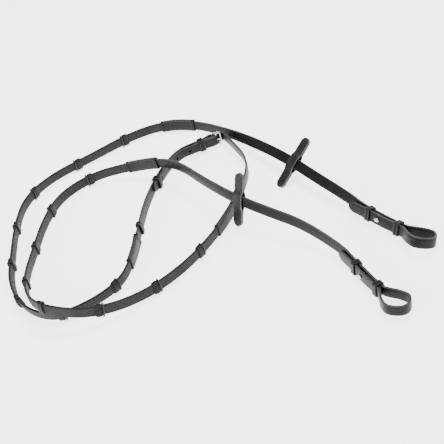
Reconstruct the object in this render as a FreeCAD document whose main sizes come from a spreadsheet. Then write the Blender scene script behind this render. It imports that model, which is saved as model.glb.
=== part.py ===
"""A pair of riding reins, buckled together at the centre and laid in an open double loop.

Each rein is a leather front strap that folds back on itself as a hook-stud billet, a sliding
rein stop, a stitched splice, a web hand grip with eight leather hand stops, a second splice and
a leather rear strap.  The right rein carries the centre buckle and the left rein the pointed end.
All sizes are in millimetres.  +X runs towards the billets, +Z is up, and the floor is z = 0.
"""
import FreeCAD, Part
import math
import os

import Sketcher

Vec = FreeCAD.Vector
DOC = FreeCAD.newDocument("reins")

# ---------------------------------------------------------------------------- driving sizes
SIZES = (
    ("strap_width", 16.0), ("front_thick", 3.5), ("web_thick", 4.0), ("rear_thick", 3.0),
    ("splice_thick", 7.0), ("splice_lip", 0.5), ("splice_gap", 0.25), ("joint_gap", 1.0),
    ("right_grip_end", 1322.0), ("left_grip_end", 1333.0), ("grip_length", 786.0),
    ("splice_length", 58.0),
    ("first_hand_stop", 124.0), ("hand_stop_pitch", 88.0), ("last_hand_stop_room", 30.0),
    ("hand_stop_length", 12.0),
    ("hand_stop_wall", 2.2), ("hand_stop_gap", 0.45), ("ring_round", 1.2),
    ("keeper_length", 9.0), ("keeper_wall", 1.8), ("keeper_gap", 0.75),
    ("fixed_keeper_at", 7.0), ("stud_at", 42.0), ("free_keeper_at", 62.0),
    ("stud_shank", 3.4), ("stud_base", 9.0), ("stud_base_thick", 1.2), ("stud_head_tall", 2.4),
    ("stud_head_long", 8.5), ("stud_head_wide", 5.6), ("stud_hole", 4.2), ("stud_slit", 1.2),
    ("stud_slit_length", 10.0),
    ("rein_stop_length", 86.0), ("rein_stop_width", 16.0), ("rein_stop_thick", 5.0),
    ("rein_stop_gap", 1.3), ("rein_stop_wall", 2.4),
    ("right_rein_stop_at", 299.0), ("left_rein_stop_at", 348.0),
    ("tip_length", 11.0), ("runner_after_splice", 24.0),
    ("buckle_wire", 3.0), ("buckle_reach", 13.0), ("buckle_side_gap", 0.9),
    ("tongue_wire", 2.4), ("tongue_ring_wall", 1.4), ("tongue_ring_gap", 0.1),
    ("tongue_ring_width", 4.4), ("tongue_slot", 5.4), ("strap_hole", 4.8),
)
SHEET = DOC.addObject("Spreadsheet::Sheet", "sizes")
for row, (alias, value) in enumerate(SIZES, 1):
    SHEET.set("A%d" % row, alias)
    SHEET.set("B%d" % row, str(value))
    SHEET.setAlias("B%d" % row, alias)
DOC.recompute()


def size(alias):
    """The sheet's value for one alias."""
    return float(getattr(SHEET, alias))


W = size("strap_width")
FRONT, WEB, REAR = size("front_thick"), size("web_thick"), size("rear_thick")
HAND_STOPS = 1 + int((size("grip_length") - size("first_hand_stop") - size("last_hand_stop_room"))
                     / size("hand_stop_pitch"))
BAR_R = size("buckle_wire") / 2

# ---------------------------------------------------------------------------- routes
# Billet end in its own plane: u runs out along the strap towards the bit, v to the side the
# billet folds back on.  The list starts at the billet's tip and ends on the main layer.
BILLET = [(-96, 5.3), (-60, 5.0), (-30, 7.2), (5, 5.2), (14, 8.8), (26, 15), (43, 17),
          (59, -4), (43, -22), (26, -15), (14, -5), (5, 0), (-72, -1.2)]
FAR_END, THROAT = 7, 11                # listed points: the loop's far end, and where it closes

# Free run of each strap: x, y, z and the lean in degrees, positive when the upper edge leans to
# the left of a walk from the billet to the buckle.
REST = 11.0                            # centreline height of a strap standing on its hand stops
RIGHT_END = dict(origin=(279, -37, 15.2), heading=-34, lean=-20)
RIGHT_RUN = [(193, 26, 20, -32), (140, 65, 24.5, -48), (84, 110, 27.5, -56), (21, 159, 21, -45),
             (-42, 203, 12, -8), (-98, 226, REST, -5), (-152, 229, REST, 0), (-204, 203, REST, 0),
             (-258, 145, REST, 5), (-313, 90, REST, 8), (-335, 32, REST, 0), (-324, -32, REST, -3),
             (-303, -96, REST, -5), (-281, -158, REST, -15), (-240, -209, REST, -12),
             (-183, -227, REST, -12), (-137, -196, REST, -8), (-106, -152, REST, 0),
             (-105, -100, REST, 0), (-115, -40, REST, 8), (-125, 28, REST, 10), (-124, 100, REST, 0),
             (-110, 150, 11, 0)]
LEFT_END = dict(origin=(268, -153, 11.2), heading=-48, lean=-6)
LEFT_RUN = [(203.5, -80.5, 14.5, -9), (142, -43, 28, -14), (87, -28, 39.5, -18), (31, -4, 45.5, -18),
            (-30, 42, 41, -10), (-80, 85, 36.5, -4), (-121, 100, 33, 0), (-182, 109, 17, 0),
            (-238, 94, REST, 0), (-277, 43, REST, -5), (-280, -21, REST, -6), (-270, -86, REST, -6),
            (-258, -150, 15, -5), (-226, -209, 29, 0), (-184, -235, 36, 3), (-126, -230, 25, 4),
            (-72, -186, REST, 3), (-26, -130, REST, 4), (3, -62, REST, 0), (17, 0, REST, 0),
            (23, 61, REST, 0), (16, 124, 11, 0)]

# Centre buckle: the bar's middle, the heading of the right rein's end and the frame's tilt.
BUCKLE = dict(bar=(-60, 184, 12.5), heading=38)
FRAME_TILT = 20
FOLD_TURN = BAR_R + 0.8 + REAR / 2     # fold's centreline to the bar's centre
FOLD_LIE = REAR / 2 + 0.1              # centreline of each layer behind the fold
CHAPE = [(-30, -FOLD_LIE), (-14, -FOLD_LIE + 0.2), (-6, -FOLD_TURN), (FOLD_TURN + 0.4, -FOLD_TURN),
         (FOLD_TURN + 0.4, FOLD_TURN), (-6, FOLD_TURN), (-14, FOLD_LIE), (-31, FOLD_LIE + 0.1)]
POINT = [(20.5, 34), (18.8, 11), (16.6, 0.3), (10, 0.3), (4.5, FOLD_TURN + REAR + 0.4),
         (-3, FOLD_TURN + REAR + 0.8), (-14, FOLD_LIE + REAR + 0.4), (-30, FOLD_LIE + REAR + 0.5)]
POINT_RUN = [(-107.3, 146.4, 11, 0), (-119.9, 100, REST, 0), (-121.0, 58, REST, 0)]


def unit(v):
    return v / v.Length


def billet_points(end):
    """Route points of a billet end with the direction across the strap, which stays constant."""
    turn = math.radians(end["heading"])
    out = Vec(math.cos(turn), math.sin(turn), 0)
    left = Vec(out.y, -out.x, 0)
    lean = math.radians(end["lean"])
    across = Vec(0, 0, 1) * math.cos(lean) + left * math.sin(lean)
    side = left * math.cos(lean) - Vec(0, 0, 1) * math.sin(lean)
    return [(Vec(*end["origin"]) + out * u + side * v, across) for u, v in BILLET]


def run_points(run, before, after):
    """Route points of a free run; each lean is taken about the level direction of travel."""
    spots = [Vec(*p[:3]) for p in run]
    chain = [before] + spots + [after]
    points = []
    for i, (x, y, z, lean) in enumerate(run):
        ahead = chain[i + 2] - chain[i]
        ahead = unit(Vec(ahead.x, ahead.y, 0))
        left = Vec(-ahead.y, ahead.x, 0)
        lean = math.radians(lean)
        points.append((spots[i], Vec(0, 0, 1) * math.cos(lean) + left * math.sin(lean)))
    return points


def buckle_point(u, v, z=0.0):
    """A spot given from the buckle bar: u out along the right rein, v to its right-hand side."""
    turn = math.radians(BUCKLE["heading"])
    out = Vec(math.cos(turn), math.sin(turn), 0)
    side = Vec(out.y, -out.x, 0)
    return Vec(*BUCKLE["bar"]) + out * u + side * v + Vec(0, 0, z)


def buckle_points(profile):
    return [(buckle_point(u, v), Vec(0, 0, 1)) for u, v in profile]


class Route:
    """Straight runs joined by tangent arcs, with the across direction carried along."""

    def __init__(self, name, points):
        self.name = name
        self.spots = [p for p, _ in points]
        self.lean = [w for _, w in points]
        self.radii = []
        self.samples = []                  # (place, travel, across, station)
        self._trace()

    def _across(self, leg, share, travel):
        w = self.lean[leg] * (1 - share) + self.lean[leg + 1] * share
        return unit(w - travel * w.dot(travel))

    def _add(self, place, travel, across, leg):
        station = 0.0
        if self.samples:
            last = self.samples[-1]
            step = (place - last[0]).Length
            if step < 1e-6:
                return
            station = last[3] + step
        self.samples.append((place, travel, across, station, leg))

    def _straight(self, start, stop, leg):
        origin, travel = self.spots[leg], unit(self.spots[leg + 1] - self.spots[leg])
        length = (self.spots[leg + 1] - origin).Length
        pieces = max(1, int((stop - start).Length / 12.0))
        for k in range(pieces):
            place = start + (stop - start) * (k / pieces)
            share = (place - origin).Length / length
            self._add(place, travel, self._across(leg, share, travel), leg)

    def _trace(self):
        spots = self.spots
        here = spots[0]
        for i in range(1, len(spots) - 1):
            a, b = spots[i] - spots[i - 1], spots[i + 1] - spots[i]
            la, lb = a.Length, b.Length
            a, b = unit(a), unit(b)
            turn = a.getAngle(b)
            trim = 0.45 * min(la, lb)
            start = spots[i] - a * trim
            self._straight(here, start, i - 1)
            here = spots[i] + b * trim
            radius = trim / math.tan(turn / 2)
            self.radii.append(radius)
            inward = unit(unit(a.cross(b)).cross(a))
            centre = start + inward * radius
            pieces = max(2, int(math.degrees(turn) / 6) + 1)
            for k in range(pieces):
                t = turn * k / pieces
                place = centre - inward * (radius * math.cos(t)) + a * (radius * math.sin(t))
                travel = a * math.cos(t) + inward * math.sin(t)
                off = (2.0 * k / pieces - 1) * trim
                if off < 0:
                    across = self._across(i - 1, 1 + off / la, travel)
                else:
                    across = self._across(i, off / lb, travel)
                self._add(place, travel, across, i)
        self._straight(here, spots[-1], len(spots) - 2)
        travel = unit(spots[-1] - spots[-2])
        self._add(spots[-1], travel, self._across(len(spots) - 2, 1.0, travel), len(spots))

    @property
    def length(self):
        return self.samples[-1][3]

    def at(self, station):
        """Place, travel and across direction at one distance along the strap."""
        samples = self.samples
        station = min(max(station, 0.0), samples[-1][3])
        for k in range(1, len(samples)):
            if samples[k][3] >= station:
                (p0, t0, w0, s0, _), (p1, t1, w1, s1, _) = samples[k - 1], samples[k]
                share = (station - s0) / (s1 - s0)
                travel = unit(t0 * (1 - share) + t1 * share)
                across = w0 * (1 - share) + w1 * share
                across = unit(across - travel * across.dot(travel))
                return p0 * (1 - share) + p1 * share, travel, across
        return samples[-1][:3]

    def stations(self, start, stop):
        inner = [s[3] for s in self.samples if start + 0.5 < s[3] < stop - 0.5]
        return [start] + inner + [stop]

    def place(self, station, beside=0.0):
        """Axes of a piece threaded on the strap: X along it, Y to its left face, Z across it."""
        p, travel, across = self.at(station)
        side = across.cross(travel)
        turn = FreeCAD.Rotation(travel, side, across, "ZXY")
        return FreeCAD.Placement(p + side * beside, turn)


right_end, left_end = billet_points(RIGHT_END), billet_points(LEFT_END)
chape, point = buckle_points(CHAPE), buckle_points(POINT)
RIGHT = Route("right", right_end + run_points(RIGHT_RUN, right_end[-1][0], chape[0][0]) + chape)
LEFT = Route("left", left_end + run_points(LEFT_RUN, left_end[-1][0], point[0][0]) + point
             + run_points(POINT_RUN, point[-1][0], Vec(-121, 40, 10)))


def loop_stations(route):
    """Stations of the loop's far end and of its throat on the main layer."""
    far_end = min(route.samples, key=lambda s: (s[0] - route.spots[FAR_END]).Length)[3]
    after = [s for s in route.samples if s[3] > far_end]
    throat = min(after, key=lambda s: (s[0] - route.spots[THROAT]).Length)[3]
    return far_end, throat


LOOP, THROAT_AT = {}, {}
for route in (RIGHT, LEFT):
    LOOP[route.name], THROAT_AT[route.name] = loop_stations(route)

# ---------------------------------------------------------------------------- solid helpers
PARTS = []


def keep(obj, label):
    obj.Label = label
    PARTS.append(obj)
    return obj


def section(route, station, width, thick, beside=0.0):
    p, travel, across = route.at(station)
    side = across.cross(travel)
    a, b = across * (width / 2), side * (thick / 2)
    p = p + side * beside
    corners = [p - a - b, p + a - b, p + a + b, p - a + b]
    return Part.makePolygon(corners + corners[:1])


def band(route, start, stop, width, thick, beside=0.0, tip=0.0, tail=0.0):
    """A flat strap between two stations; tip and tail narrow its ends to a rounded point."""
    stations = set(route.stations(start, stop))
    for k in range(1, 6):
        if tip:
            stations.add(start + tip * (k / 6.0) ** 2)
        if tail:
            stations.add(stop - tail * (k / 6.0) ** 2)
    wires = []
    for s in sorted(stations):
        narrow = 1.0
        if tip and s < start + tip:
            narrow = math.sqrt(1 - (1 - (s - start) / tip) ** 2)
        if tail and s > stop - tail:
            narrow = math.sqrt(1 - (1 - (stop - s) / tail) ** 2)
        wires.append(section(route, s, width * max(narrow, 0.18), thick, beside))
    solid = Part.makeLoft(wires, True, True)
    if solid.Volume < 0:
        solid.reverse()
    return solid


def feature(label, shape):
    obj = DOC.addObject("Part::Feature", label)
    obj.Shape = shape
    return keep(obj, label)


def drill(route, station, radius, reach_back, reach_ahead, beside=0.0):
    """A cylinder through the strap's faces at one station."""
    p, travel, across = route.at(station)
    side = across.cross(travel)
    return Part.makeCylinder(radius, reach_back + reach_ahead, p - side * reach_back, side)


def block(at, along, up, lo, hi):
    """A box from lo to hi in the axes along, side and up at a place."""
    box = Part.makeBox(hi[0] - lo[0], hi[1] - lo[1], hi[2] - lo[2], Vec(*lo))
    box.Placement = FreeCAD.Placement(at, FreeCAD.Rotation(along, up.cross(along), up, "ZXY"))
    return box


# ---------------------------------------------------------------------------- sketched pieces
def origin_plane(body, role):
    return [o for o in body.Origin.OriginFeatures if o.Role == role][0]


def sketch_on(body, label, role):
    sketch = body.newObject("Sketcher::SketchObject", label)
    sketch.AttachmentSupport = [(origin_plane(body, role), "")]
    sketch.MapMode = "FlatFace"
    return sketch


def rectangle(sketch, name, left, right, half_height):
    """Four lines from left to right of the origin and evenly above and below it."""
    first = sketch.GeometryCount
    start = (Vec(-2, -3, 0), Vec(2, -3, 0), Vec(2, 3, 0), Vec(-2, 3, 0))
    for k in range(4):
        sketch.addGeometry(Part.LineSegment(start[k], start[(k + 1) % 4]), False)
    for k in range(4):
        sketch.addConstraint(Sketcher.Constraint("Coincident", first + k, 2,
                                                 first + (k + 1) % 4, 1))
    for kind, k in (("Horizontal", 0), ("Horizontal", 2), ("Vertical", 1), ("Vertical", 3)):
        sketch.addConstraint(Sketcher.Constraint(kind, first + k))
    rules = (("left", Sketcher.Constraint("DistanceX", first, 1, -1, 1, 2.0), left),
             ("right", Sketcher.Constraint("DistanceX", -1, 1, first, 2, 2.0), right),
             ("below", Sketcher.Constraint("DistanceY", first, 1, -1, 1, 3.0), half_height),
             ("above", Sketcher.Constraint("DistanceY", -1, 1, first + 2, 1, 3.0), half_height))
    for side, rule, expression in rules:
        index = sketch.addConstraint(rule)
        sketch.renameConstraint(index, name + "_" + side)
        sketch.setExpression("Constraints.%s_%s" % (name, side), expression)


def pad_of(body, sketch, length):
    pad = body.newObject("PartDesign::Pad", sketch.Label + "_pad")
    pad.Profile = sketch
    pad.SideType = "Symmetric"
    pad.setExpression("Length", length)
    return pad


def rounded(body, base, label, radius, chosen):
    DOC.recompute()
    names = ["Edge%d" % k for k, e in enumerate(base.Shape.Edges, 1) if chosen(e)]
    fillet = body.newObject("PartDesign::Fillet", label)
    fillet.Base = (base, names)
    fillet.setExpression("Radius", radius)
    return fillet


def ring(label, length, wall, gap, inner_thick):
    """A leather loop round the strap: X along the strap, Y through it, Z across it."""
    body = DOC.addObject("PartDesign::Body", label)
    sketch = sketch_on(body, label + "_profile", "YZ_Plane")
    half_t = "(%s) / 2 + sizes.%s" % (inner_thick, gap)
    half_w = "sizes.strap_width / 2 + sizes.%s" % gap
    outer_t, outer_w = half_t + " + sizes." + wall, half_w + " + sizes." + wall
    rectangle(sketch, "outer", outer_t, outer_t, outer_w)
    rectangle(sketch, "inner", half_t, half_t, half_w)
    pad = pad_of(body, sketch, "sizes." + length)
    DOC.recompute()
    reach = pad.Shape.BoundBox

    def outer_edge(e):
        along = abs(e.Vertexes[0].X - e.Vertexes[-1].X) > 1
        return along and abs(abs(e.CenterOfMass.y) - reach.YMax) < 0.01
    rounded(body, pad, label + "_round", "sizes.ring_round", outer_edge)
    return keep(body, label)


# ---------------------------------------------------------------------------- one rein
def rein(side, route, stop_at):
    """The pieces that both reins share, from the billet's tip to the rear splice."""
    loop = LOOP[side]
    throat = THROAT_AT[side]
    stud_main = throat + size("stud_at")
    tail_in = loop + size(side + "_grip_end")
    splice_in = tail_in - size("grip_length")
    splice_out = splice_in + size("splice_length")
    tail_out = tail_in + size("splice_length")
    seam_in, seam_out = (splice_in + splice_out) / 2, (tail_in + tail_out) / 2
    gap = size("joint_gap") / 2

    # front strap: billet tip, loop and main layer as one leather strip
    strap = band(route, 0.0, seam_in - gap, W, FRONT, tip=size("tip_length"))
    plain = strap.Volume
    p, travel, across = route.at(stud_main)
    face = across.cross(travel)
    hole = Part.makeCylinder(size("stud_hole") / 2, 40, p - face * 15, face)
    reach = size("stud_slit_length")
    slit = block(p, travel, across, (0.0, 3.5, -size("stud_slit") / 2),
                 (reach, 18.0, size("stud_slit") / 2))
    strap = strap.cut(hole).cut(slit)
    assert strap.Volume < plain - 60, "the stud hole and slit cut nothing"
    feature(side + "_front_strap", strap)

    # web grip between the two splices
    web = band(route, seam_in + gap, seam_out - gap, W, WEB)
    feature(side + "_web_grip", web)

    # leather sleeves stitched over the joints
    lip, room = size("splice_lip"), size("splice_gap")
    for name, start, stop in (("front_splice", splice_in, splice_out),
                              ("rear_splice", tail_in, tail_out)):
        outer = band(route, start, stop, W + 2 * (room + lip + 1.0), size("splice_thick"))
        inner = band(route, start - 1, stop + 1, W + 2 * room, WEB + 2 * room)
        feature(side + "_" + name, outer.cut(inner))

    # hand stops, evenly spaced along the web
    for k in range(HAND_STOPS):
        stop = ring("%s_hand_stop_%d" % (side, k + 1), "hand_stop_length", "hand_stop_wall",
                    "hand_stop_gap", "sizes.web_thick")
        station = splice_in + size("first_hand_stop") + k * size("hand_stop_pitch")
        stop.Placement = route.place(station)

    # billet keepers hold both layers; the billet lies on the left face
    for name, at in (("fixed_keeper", "fixed_keeper_at"), ("free_keeper", "free_keeper_at")):
        station = throat + size(at)
        apart = layer_gap(route, station)
        keeper = ring(side + "_" + name, "keeper_length", "keeper_wall", "keeper_gap",
                      "sizes.front_thick + %.3f" % apart)
        keeper.Placement = route.place(station, apart / 2)

    hook_stud(side, route, stud_main)
    rein_stop(side, route, loop + stop_at)
    return seam_out + gap


def layer_gap(route, station):
    """Distance from the main layer's centreline to the billet's, measured squarely."""
    p, travel, across = route.at(station)
    side = across.cross(travel)
    best = None
    for q, _, _, s, _ in route.samples:
        if s < 110:
            off = q - p
            along = abs(off.dot(travel))
            if best is None or along < best[0]:
                best = (along, off.dot(side), s)
    low, high = route.at(best[2] - 3)[0] - p, route.at(best[2] + 3)[0] - p
    share = low.dot(travel) / (low.dot(travel) - high.dot(travel))
    return low.dot(side) * (1 - share) + high.dot(side) * share


def hook_stud(side, route, station):
    """Base disc behind the main layer, shank through both layers, long head over the billet."""
    apart = layer_gap(route, station)
    parts = []
    upright = FreeCAD.Rotation(Vec(1, 0, 0), -90)
    back = -FRONT / 2 - size("stud_base_thick") - 0.25
    front = apart + FRONT / 2 + 0.3
    base = DOC.addObject("Part::Cylinder", side + "_stud_base")
    base.setExpression("Radius", "sizes.stud_base / 2")
    base.setExpression("Height", "sizes.stud_base_thick")
    base.Placement = FreeCAD.Placement(Vec(0, back, 0), upright)
    shank = DOC.addObject("Part::Cylinder", side + "_stud_shank")
    shank.setExpression("Radius", "sizes.stud_shank / 2")
    shank.Height = front - back + size("stud_head_tall") / 2
    shank.Placement = FreeCAD.Placement(Vec(0, back, 0), upright)
    head = DOC.addObject("Part::Ellipsoid", side + "_stud_head")
    head.setExpression("Radius1", "sizes.stud_head_tall / 2")
    head.setExpression("Radius2", "sizes.stud_head_long / 2")
    head.setExpression("Radius3", "sizes.stud_head_wide / 2")
    head.Placement = FreeCAD.Placement(Vec(0, front + size("stud_head_tall") / 2, 0), upright)
    parts = [base, shank, head]
    stud = DOC.addObject("Part::MultiFuse", side + "_hook_stud")
    stud.Shapes = parts
    stud.Placement = route.place(station)
    return keep(stud, side + "_hook_stud")


def rein_stop(side, route, station):
    """Two leather layers stitched into a long rounded bar, parted in the middle round the strap."""
    flat = FreeCAD.Rotation(Vec(1, 0, 0), -90)
    width, thick = size("rein_stop_width"), size("rein_stop_thick")
    span = size("rein_stop_length") - width
    bar = DOC.addObject("Part::Box", side + "_stop_bar")
    bar.setExpression("Length", "sizes.rein_stop_width")
    bar.setExpression("Width", "sizes.rein_stop_thick")
    bar.setExpression("Height", "sizes.rein_stop_length - sizes.rein_stop_width")
    bar.Placement = FreeCAD.Placement(Vec(-width / 2, -thick / 2, -span / 2), FreeCAD.Rotation())
    ends = []
    for name, sign in (("upper", 1), ("lower", -1)):
        end = DOC.addObject("Part::Cylinder", "%s_stop_%s_end" % (side, name))
        end.setExpression("Radius", "sizes.rein_stop_width / 2")
        end.setExpression("Height", "sizes.rein_stop_thick")
        end.Placement = FreeCAD.Placement(Vec(0, -thick / 2, sign * span / 2), flat)
        ends.append(end)
    wall, room = size("rein_stop_wall"), size("rein_stop_gap")
    sleeve = DOC.addObject("Part::Box", side + "_stop_sleeve")
    sleeve.setExpression("Length", "sizes.rein_stop_width")
    sleeve.setExpression("Width", "sizes.front_thick + 2 * sizes.rein_stop_gap"
                                  " + 2 * sizes.rein_stop_wall")
    sleeve.setExpression("Height", "sizes.strap_width + 2 * sizes.rein_stop_gap"
                                   " + 2 * sizes.rein_stop_wall")
    sleeve.Placement = FreeCAD.Placement(
        Vec(-width / 2, -FRONT / 2 - room - wall, -W / 2 - room - wall), FreeCAD.Rotation())
    solid = DOC.addObject("Part::MultiFuse", side + "_stop_solid")
    solid.Shapes = [bar] + ends + [sleeve]
    solid.Refine = True
    tunnel = DOC.addObject("Part::Box", side + "_stop_tunnel")
    tunnel.setExpression("Length", "sizes.rein_stop_width + 4")
    tunnel.setExpression("Width", "sizes.front_thick + 2 * sizes.rein_stop_gap")
    tunnel.setExpression("Height", "sizes.strap_width + 2 * sizes.rein_stop_gap")
    tunnel.Placement = FreeCAD.Placement(
        Vec(-width / 2 - 2, -FRONT / 2 - room, -W / 2 - room), FreeCAD.Rotation())
    stop = DOC.addObject("Part::Cut", side + "_rein_stop")
    stop.Base, stop.Tool = solid, tunnel
    stop.Placement = route.place(station)
    return keep(stop, side + "_rein_stop")


# ---------------------------------------------------------------------------- centre buckle
def frame_place():
    """Axes of the buckle frame: X from the bar to the outer bar, Z along the bar."""
    turn = math.radians(BUCKLE["heading"] - FRAME_TILT)
    along = Vec(math.cos(turn), math.sin(turn), 0)
    return FreeCAD.Placement(Vec(*BUCKLE["bar"]),
                             FreeCAD.Rotation(along, Vec(0, 0, 1).cross(along), Vec(0, 0, 1),
                                              "ZXY"))


def buckle_frame():
    body = DOC.addObject("PartDesign::Body", "buckle_frame")
    sketch = sketch_on(body, "buckle_frame_profile", "XZ_Plane")
    wire = "sizes.buckle_wire"
    window = "sizes.strap_width / 2 + sizes.buckle_side_gap"
    rectangle(sketch, "outer", wire + " / 2", "sizes.buckle_reach + %s / 2" % wire,
              window + " + " + wire)
    rectangle(sketch, "window", "-%s / 2" % wire, "sizes.buckle_reach - %s / 2" % wire, window)
    pad = pad_of(body, sketch, wire)
    DOC.recompute()
    box = pad.Shape.BoundBox

    def corner(e):
        c = e.CenterOfMass
        through = abs(e.Vertexes[0].Y - e.Vertexes[-1].Y) > 1
        return through and abs(abs(c.z) - box.ZMax) < 0.01
    corners = rounded(body, pad, "buckle_corners", wire + " * 0.7", corner)
    DOC.recompute()
    rounded(body, corners, "buckle_edges", wire + " * 0.45",
            lambda e: abs(abs(e.CenterOfMass.y) - box.YMax) < 0.01)
    body.Placement = frame_place()
    return keep(body, "buckle_frame")


def buckle_tongue():
    """A ring round the bar with a pin that lies on the outer bar."""
    ring_out = DOC.addObject("Part::Cylinder", "tongue_ring")
    ring_out.setExpression("Radius", "sizes.buckle_wire / 2 + sizes.tongue_ring_gap"
                                     " + sizes.tongue_ring_wall")
    ring_out.setExpression("Height", "sizes.tongue_ring_width")
    ring_out.Placement = FreeCAD.Placement(Vec(0, 0, -size("tongue_ring_width") / 2),
                                           FreeCAD.Rotation())
    bore = DOC.addObject("Part::Cylinder", "tongue_bore")
    bore.setExpression("Radius", "sizes.buckle_wire / 2 + sizes.tongue_ring_gap")
    bore.setExpression("Height", "sizes.tongue_ring_width + 4")
    bore.Placement = FreeCAD.Placement(Vec(0, 0, -size("tongue_ring_width") / 2 - 2),
                                       FreeCAD.Rotation())
    pin_r = size("tongue_wire") / 2
    # the pin lies on the side of the frame away from the right rein: local -Y
    rest = -(size("buckle_wire") / 2 + pin_r + 0.35)
    root = -(size("buckle_wire") / 2 + size("tongue_ring_gap") + size("tongue_ring_wall") - 0.7)
    reach = size("buckle_reach")
    slope = math.atan2(rest - root, reach)
    pin = DOC.addObject("Part::Cylinder", "tongue_pin")
    pin.setExpression("Radius", "sizes.tongue_wire / 2")
    pin.setExpression("Height", "sizes.buckle_reach + sizes.buckle_wire * 0.7")
    turn = FreeCAD.Rotation(Vec(0, 0, 1), Vec(math.cos(slope), math.sin(slope), 0))
    pin.Placement = FreeCAD.Placement(Vec(0.4, root, 0), turn)
    nose = DOC.addObject("Part::Sphere", "tongue_nose")
    nose.setExpression("Radius", "sizes.tongue_wire / 2")
    run = reach + size("buckle_wire") * 0.7
    nose.Placement = FreeCAD.Placement(
        Vec(0.4 + run * math.cos(slope), root + run * math.sin(slope), 0), FreeCAD.Rotation())
    solid = DOC.addObject("Part::MultiFuse", "tongue_solid")
    solid.Shapes = [ring_out, pin, nose]
    tongue = DOC.addObject("Part::Cut", "buckle_tongue")
    tongue.Base, tongue.Tool = solid, bore
    tongue.Placement = frame_place()
    return keep(tongue, "buckle_tongue"), slope


# ---------------------------------------------------------------------------- assembly
right_rear = rein("right", RIGHT, size("right_rein_stop_at"))
left_rear = rein("left", LEFT, size("left_rein_stop_at"))
buckle_frame()
tongue, pin_slope = buckle_tongue()

# right rear strap: folded round the bar, with a slot for the tongue's ring
strap = band(RIGHT, right_rear, RIGHT.length, W, REAR)
plain = strap.Volume
half = size("tongue_slot") / 2
along = unit(buckle_point(1, 0) - buckle_point(0, 0))
slot = block(buckle_point(0, 0), along, Vec(0, 0, 1), (-5.0, -8.0, -half), (9.0, 8.0, half))
strap = strap.cut(slot)
assert strap.Volume < plain - 100, "the tongue slot cut nothing"
feature("right_rear_strap", strap)

# left rear strap: through the frame, pierced by the tongue, then back along the right rein
strap = band(LEFT, left_rear, LEFT.length, W, REAR, tail=size("tip_length"))
plain = strap.Volume
turn = math.radians(BUCKLE["heading"] - FRAME_TILT) + pin_slope
pin_line = Vec(math.cos(turn), math.sin(turn), 0)
pin_root = frame_place().multVec(Vec(0.4, -(BAR_R + 0.8), 0))
strap = strap.cut(Part.makeCylinder(size("strap_hole") / 2, 12, pin_root + pin_line * 1.0, pin_line))
assert strap.Volume < plain - 20, "the tongue hole cut nothing"
# spare holes towards the tip, an inch apart
for k in range(4):
    station = LEFT.length - 30 - 25.4 * k
    strap = strap.cut(drill(LEFT, station, size("strap_hole") / 2 - 0.4, 6, 6))
feature("left_rear_strap", strap)

# keepers behind the buckle: a fixed one close to it and a free one near the strap's point,
# and a small runner on the right rein's rear strap
both = "2 * sizes.rear_thick + 1.3"


def straddle(label, right_station, thick_expr, layers):
    """A keeper round the right rear strap and what lies on its right-hand face."""
    keeper = ring(label, "keeper_length", "keeper_wall", "keeper_gap", thick_expr)
    keeper.Placement = RIGHT.place(right_station, -layers)
    return keeper


def right_station_near(spot):
    return min((s for s in RIGHT.samples if s[3] > right_rear and s[3] < chape_start),
               key=lambda s: (s[0] - spot).Length)[3]


chape_start = right_rear + 400
for s in RIGHT.samples:
    if s[3] > right_rear and (s[0] - chape[1][0]).Length < 5:
        chape_start = s[3]
        break
straddle("point_keeper", right_station_near(Vec(-124, 80, 10)), both, 2.05)
straddle("buckle_keeper", right_station_near(chape[0][0]) + 9, "3 * sizes.rear_thick + 0.8",
         (3 * REAR + 0.8) / 2 - REAR / 2)
runner = ring("rear_runner", "keeper_length", "keeper_wall", "keeper_gap", "sizes.rear_thick")
runner.Placement = RIGHT.place(LOOP["right"] + size("right_grip_end") + size("splice_length")
                              + size("runner_after_splice"))

# ---------------------------------------------------------------------------- checks and files
DOC.recompute()
for obj in DOC.Objects:
    bad = [word for word in obj.State if word in ("Invalid", "Error")]
    if bad:
        raise RuntimeError("%s is %s" % (obj.Label, bad))
labels = [obj.Label for obj in PARTS]
assert len(set(labels)) == len(labels), "labels repeat"
for obj in PARTS:
    shape = obj.Shape
    if shape.isNull() or not shape.isValid() or shape.Volume <= 0:
        raise RuntimeError("%s has no valid solid" % obj.Label)

for route in (RIGHT, LEFT):
    print(route.name, "route: %.0f mm long, loop end at %.0f mm, bend radii (mm):"
          % (route.length, LOOP[route.name]), " ".join("%.0f" % r for r in route.radii))
for side, route, rear in (("right", RIGHT, right_rear), ("left", LEFT, left_rear)):
    seam = LOOP[side] + size(side + "_grip_end") - size("grip_length") + size("splice_length") / 2
    gap = size("joint_gap") / 2
    for name, start, stop, thick in (("front_strap", 0, seam - gap, FRONT),
                                     ("web_grip", seam + gap, rear - 2 * gap, WEB),
                                     ("rear_strap", rear, route.length, REAR)):
        solid = [o for o in PARTS if o.Label == side + "_" + name][0].Shape
        whole = W * thick * (stop - start)
        print("%s_%s: volume %.0f mm3, section times length %.0f mm3, ratio %.3f"
              % (side, name, solid.Volume, whole, solid.Volume / whole))

# the finished set is moved to stand on the floor with the middle of its box over the origin
corners = [v for obj in PARTS for v in obj.Shape.tessellate(0.2)[0]]
low = Vec(*(min(v[axis] for v in corners) for axis in range(3)))
high = Vec(*(max(v[axis] for v in corners) for axis in range(3)))
shift = Vec(-(low.x + high.x) / 2, -(low.y + high.y) / 2, -low.z)
os.makedirs("parts", exist_ok=True)
for obj in PARTS:
    shape = obj.Shape.copy()
    shape.translate(shift)
    shape.exportStep("parts/%s.step" % obj.Label)
print("%d parts, %.1f x %.1f x %.1f mm, moved by (%.2f, %.2f, %.2f) mm" % (
    len(PARTS), high.x - low.x, high.y - low.y, high.z - low.z, shift.x, shift.y, shift.z))
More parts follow.
